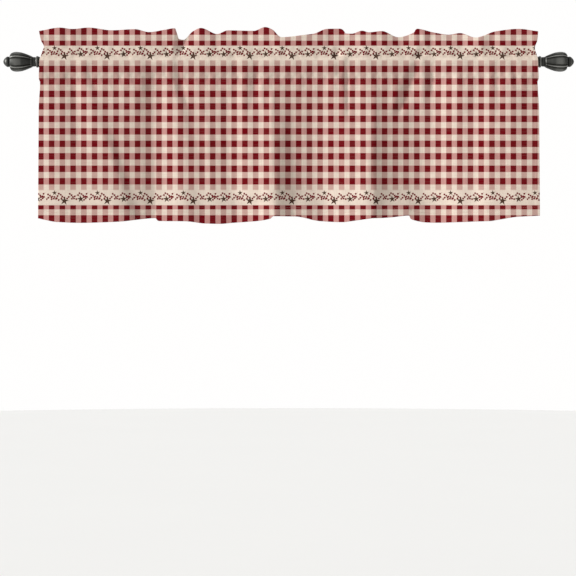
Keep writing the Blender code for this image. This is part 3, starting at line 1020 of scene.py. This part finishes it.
def thread_material():
    """Sewing thread in the cloth's red, mottled by its twist."""
    material, nodes, shader = new_material("sewing_thread", Roughness=0.7, Specular_IOR_Level=0.2)
    place = nodes.add("ShaderNodeTexCoord", output="Object")
    twist = nodes.noise(place, THREAD_TWIST)
    link(nodes, nodes.mix(twist, THREAD_DARK, THREAD_LIGHT), shader, "Base Color")
    return material


GUNMETAL = (0.050, 0.051, 0.047)
GUNMETAL_DULL = (0.040, 0.0408, 0.0376)
# Lighter metal for wear and painted highlights, and darker metal for painted shade.
GUNMETAL_WORN_AND_LIT = (0.230, 0.230, 0.216)
GUNMETAL_PAINTED_SHADE = (0.012, 0.012, 0.010)
MOTTLE_SCALE = (160.0, 160.0, 160.0)
GRAIN_SCALE = (1400.0, 1400.0, 1400.0)
GRAIN_BUMP = {"Strength": 0.2, "Distance": 0.2 * MM}
METAL_ROUGHNESS = (0.46, 0.60)
PLAIN_WEAR_AND_LIGHT = 0.5


def metal_material(name, painted_light_and_wear):
    """Satin gunmetal. With painted light and wear, it is lighter where worn and where highlights
    are painted, and darker with painted shade in its grooves and necks.
    """
    material, nodes, shader = new_material(name, Metallic=0.85, Specular_IOR_Level=0.4)
    place = nodes.add("ShaderNodeTexCoord", output="Object")
    mottle = nodes.noise(place, MOTTLE_SCALE, 4.0)
    base = nodes.mix(nodes.ramp(mottle, 0.3, 0.7), GUNMETAL, GUNMETAL_DULL)
    if painted_light_and_wear:
        # Painted light and wear from the finial's points: painted shade darkens, wear and painted
        # highlights lighten.
        wear = nodes.add("ShaderNodeAttribute", output="Fac", attribute_name="painted_light_and_wear")
        base = nodes.mix(nodes.ramp(wear, PLAIN_WEAR_AND_LIGHT, 0.0), base, GUNMETAL_PAINTED_SHADE)
        base = nodes.mix(nodes.ramp(wear, PLAIN_WEAR_AND_LIGHT, 1.0), base, GUNMETAL_WORN_AND_LIT)
    bump = nodes.add("ShaderNodeBump", {**GRAIN_BUMP, "Height": nodes.noise(place, GRAIN_SCALE)})
    link(nodes, base, shader, "Base Color")
    link(nodes, bump, shader, "Normal")
    link(nodes, nodes.ramp(mottle, 0.2, 0.8, *METAL_ROUGHNESS), shader, "Roughness")
    return material


# ---- finials

ROD_HALF_LENGTH = 602.3 * MM
ROD_WALL = 1.2 * MM
PIECE_GAP = 0.3 * MM
SPIGOT_LENGTH = 20.0 * MM
FINIAL_LENGTH = 88.0 * MM
FINIAL_SIDES = 240
FINIAL_STEP = 0.7 * MM
FINIAL_RIBS = 5
FINIAL_TURN = {"left": math.radians(28), "right": math.radians(2)}
FINIAL_SHARP = math.radians(50)

# The ribbing, as shares of the finial's radius: each rib stands proud between two grooves, and the
# panel between two ribs swells a little.
RIB_HALF_ANGLE = math.radians(3.6)
RIB_HEIGHT = 0.042
GROOVE_FROM_RIB = math.radians(10)
GROOVE_HALF_ANGLE = math.radians(3.6)
GROOVE_DEPTH = 0.075
PANEL_CROWN = 0.02

# How much lighter ribs are painted, for wear and as a painted highlight, how much lighter the
# panels' crowns are painted as a highlight, and how much painted shade darkens the grooves.
RIB_WEAR_AND_HIGHLIGHT = 0.7
GROOVE_PAINTED_SHADE = 0.6
PANEL_PAINTED_HIGHLIGHT = 0.1

# A finial's rings, from the face against the tube out to the tip. Flute says how much of the
# ribbing that ring takes, and wear how light its metal is painted, with 0.5 for plain: lighter on
# collars, beads and the bulb for wear and painted highlight, darker in the necks as painted shade.
Ring = namedtuple("Ring", "out radius flute wear")
FINIAL_RINGS = (
    Ring(0.0, 12.2, 0, 0.3),
    Ring(2.6, 12.4, 0, 0.3),
    Ring(3.4, 13.8, 0, 0.6),
    Ring(6.6, 13.8, 0, 0.8),
    Ring(7.6, 13.1, 0, 0.8),
    Ring(8.6, 11.2, 0, 0.2),
    Ring(9.8, 10.9, 0, 0.1),
    Ring(11.0, 11.4, 0, 0.6),
    Ring(15.0, 11.5, 0, 0.2),
    Ring(17.4, 12.2, 0, 0.2),
    Ring(18.8, 13.4, 0.3, 0.7),
    Ring(21.7, 14.5, 0.8, 0.15),
    Ring(26.5, 16.5, 1, 0.2),
    Ring(36.2, 20.1, 1, 0.35),
    Ring(45.9, 22.6, 1, 0.6),
    Ring(55.6, 23.5, 1, 0.65),
    Ring(60.4, 23.1, 1, 0.6),
    Ring(64.2, 22.1, 1, 0.5),
    Ring(67.7, 20.3, 1, 0.45),
    Ring(70.1, 17.8, 1, 0.3),
    Ring(71.6, 13.5, 0.5, 0.1),
    Ring(72.6, 11.2, 0, 0.0),
    Ring(73.8, 12.3, 0, 0.4),
    Ring(77.6, 12.6, 0, 0.5),
    Ring(80.2, 11.5, 0, 0.7),
    Ring(82.6, 9.6, 0, 0.5),
    Ring(84.8, 7.2, 0, 0.5),
    Ring(86.8, 4.4, 0, 0.5),
)


def rib_relief(angles):
    """Round a finial: where its ribs, the grooves beside them and the panels' crowns are."""
    pitch = 2 * math.pi / FINIAL_RIBS
    off = np.minimum(angles % pitch, -angles % pitch)
    rib = bell(off, RIB_HALF_ANGLE)
    groove = bell(off - GROOVE_FROM_RIB, GROOVE_HALF_ANGLE)
    return rib, groove, np.sin(math.pi * off / pitch)


def finial_rings():
    """Fine rings through the table's: each one's out, radius, flute, and its wear with painted
    light and shade.
    """
    outs = column_of(FINIAL_RINGS, "out")
    fine = [outs[0]]
    for left, right in zip(outs, outs[1:]):
        count = max(3, math.ceil((right - left) / FINIAL_STEP))
        fine += list(left + (right - left) * np.arange(1, count + 1) / count)
    fine = np.array(fine)
    radius = smooth_through(outs, column_of(FINIAL_RINGS, "radius"), fine)
    flute = smooth_through(outs, column_of(FINIAL_RINGS, "flute") / MM, fine)
    wear = smooth_through(outs, column_of(FINIAL_RINGS, "wear") / MM, fine)
    return fine, radius, np.clip(flute, 0, 1), np.clip(wear, 0, 1)


def finial_surface():
    """A finial and its spigot as a grid of points along +X, and each point's wear with painted
    light and shade.
    """
    out, radius, flute, wear = finial_rings()
    spigot = ROD_RADIUS - ROD_WALL - PIECE_GAP
    out = np.concatenate([[-SPIGOT_LENGTH, 0.0], out])[:, None]
    radius = np.concatenate([[spigot, spigot], radius])[:, None]
    flute = np.concatenate([[0.0, 0.0], flute])[:, None]
    wear = np.concatenate([[PLAIN_WEAR_AND_LIGHT, PLAIN_WEAR_AND_LIGHT], wear])[:, None]
    angles = 2 * math.pi * np.arange(FINIAL_SIDES) / FINIAL_SIDES
    rib, groove, crown = rib_relief(angles)
    shape = RIB_HEIGHT * rib - GROOVE_DEPTH * groove + PANEL_CROWN * crown
    # Ribs painted lighter for wear and as a highlight, grooves darker as painted shade, and panel
    # crowns lighter as a painted highlight.
    tone = RIB_WEAR_AND_HIGHLIGHT * rib - GROOVE_PAINTED_SHADE * groove + PANEL_PAINTED_HIGHLIGHT * crown
    radius = radius * (1 + flute * shape)
    out = np.repeat(out, FINIAL_SIDES, axis=1)
    points = np.stack([out, radius * np.cos(angles), radius * np.sin(angles)], axis=2)
    return points, np.clip(wear + flute * tone, 0, 1)


def finial_place(end):
    """Where a finial goes: turned about its own axis, at one end of the rod."""
    place = Matrix.Translation((ROD_HALF_LENGTH + PIECE_GAP, 0, 0))
    place = place @ Matrix.Rotation(FINIAL_TURN[end], 4, "X")
    if end == "left":
        place = Matrix.Rotation(math.pi, 4, "Z") @ place
    return place


def make_finial(end, material):
    """A finial at the rod's left or right end, with its spigot."""
    points, painted_light_and_wear = finial_surface()
    rings = len(points)
    faces = [tuple(face) for face in grid_faces(rings, FINIAL_SIDES, wrap_columns=True)]
    first = rings * FINIAL_SIDES
    last = first + 1
    rim = first - FINIAL_SIDES
    for k in range(FINIAL_SIDES):
        after = (k + 1) % FINIAL_SIDES
        faces.append((first, after, k))
        faces.append((last, rim + k, rim + after))
    ends = [[-SPIGOT_LENGTH, 0, 0], [FINIAL_LENGTH, 0, 0]]
    points = np.concatenate([points.reshape(-1, 3), ends])
    item = new_object("ribbed_finial_" + end, points, faces, [material])
    # Each point's wear with painted highlights and painted shade, 0.5 where plain.
    values = np.concatenate([painted_light_and_wear.ravel(), [PLAIN_WEAR_AND_LIGHT, PLAIN_WEAR_AND_LIGHT]]).astype(np.float32)
    item.data.attributes.new("painted_light_and_wear", "FLOAT", "POINT").data.foreach_set("value", values)
    item.data.set_sharp_from_angle(angle=FINIAL_SHARP)
    item.data.transform(finial_place(end))
    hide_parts("finial_" + end)
    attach(item, "root")
    return item


# ---- stage, light and camera

# The camera looks level along +Y. Its span is how wide the picture is at the rod.
CAMERA_SENSOR = 36.0
CAMERA_SPAN = 1.394
FLOOR_DROP = 1.1
FLOOR_RADIUS = 9.0
FLOOR_SIDES = 96
FLOOR_COLOUR = (0.80, 0.80, 0.79)
FLOOR_DARKER = (0.788, 0.788, 0.77815)
FLOOR_MOTTLE = (1.5, 1.5, 1.5)
WORLD_BACK = (1.0, 0.995, 0.99)
WORLD_FRONT = (0.645, 0.64, 0.63)
WORLD_TURNS_AT = (-0.2, 0.8)
KEY_FROM = (-0.92, -0.30, 0.25)
KEY_STRENGTH = 4.6
KEY_ANGLE = math.radians(14)


def make_stage():
    """A wide pale floor below the hanging valance."""
    angles = 2 * math.pi * np.arange(FLOOR_SIDES) / FLOOR_SIDES
    low = CAD_BOX[0].z - FLOOR_DROP
    points = [(FLOOR_RADIUS * math.cos(a), FLOOR_RADIUS * math.sin(a), low) for a in angles]
    material, nodes, shader = new_material("pale_floor", Roughness=0.8, Specular_IOR_Level=0.1)
    place = nodes.add("ShaderNodeTexCoord", output="Object")
    tone = nodes.noise(place, FLOOR_MOTTLE)
    link(nodes, nodes.mix(tone, FLOOR_COLOUR, FLOOR_DARKER), shader, "Base Color")
    floor = new_object("floor", points, [tuple(range(FLOOR_SIDES))], [material])


def make_light():
    """A pale room that is lighter behind the valance, and a low key light from the left."""
    world = bpy.data.worlds.new("soft_studio")
    world.use_nodes = True
    nodes = Nodes(world.node_tree)
    towards = nodes.add("ShaderNodeTexCoord", output="Generated")
    forward = nodes.add("ShaderNodeSeparateXYZ", {0: towards}, "Y")
    back = nodes.ramp(forward, *WORLD_TURNS_AT)
    background = world.node_tree.nodes["Background"]
    link(nodes, nodes.mix(back, WORLD_FRONT, WORLD_BACK), background, "Color")
    bpy.context.scene.world = world
    key = bpy.data.lights.new("key", "SUN")
    key.energy = KEY_STRENGTH
    key.angle = KEY_ANGLE
    lamp = bpy.data.objects.new("key", key)
    lamp.rotation_euler = Vector(KEY_FROM).to_track_quat("Z", "Y").to_euler()
    bpy.context.scene.collection.objects.link(lamp)


def make_camera():
    """A camera at the eye, level and square to the valance."""
    data = bpy.data.cameras.new("camera")
    data.sensor_width = CAMERA_SENSOR
    data.lens = CAMERA_SENSOR * -EYE[1] / CAMERA_SPAN
    camera = bpy.data.objects.new("camera", data)
    camera.location = EYE
    camera.rotation_euler = (math.pi / 2, 0, 0)
    bpy.context.scene.collection.objects.link(camera)
    bpy.context.scene.camera = camera
    bpy.context.scene.view_settings.view_transform = "Standard"


def finish_rod():
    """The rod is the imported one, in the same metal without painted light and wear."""
    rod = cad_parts["rod"]
    rod.data.materials.clear()
    rod.data.materials.append(metal_material("plain_gunmetal", painted_light_and_wear=False))


def main():
    group = print_group()
    cloth, names, outer = make_cloth(
        cloth_material("checked_cloth", group, wrong_side=False),
        cloth_material("checked_cloth_wrong_side", group, wrong_side=True),
    )
    stitching = make_stitches(names, outer, thread_material())
    gunmetal = metal_material("ribbed_gunmetal", painted_light_and_wear=True)
    make_finial("left", gunmetal)
    make_finial("right", gunmetal)
    finish_rod()
    make_stage()
    make_light()
    make_camera()


main()
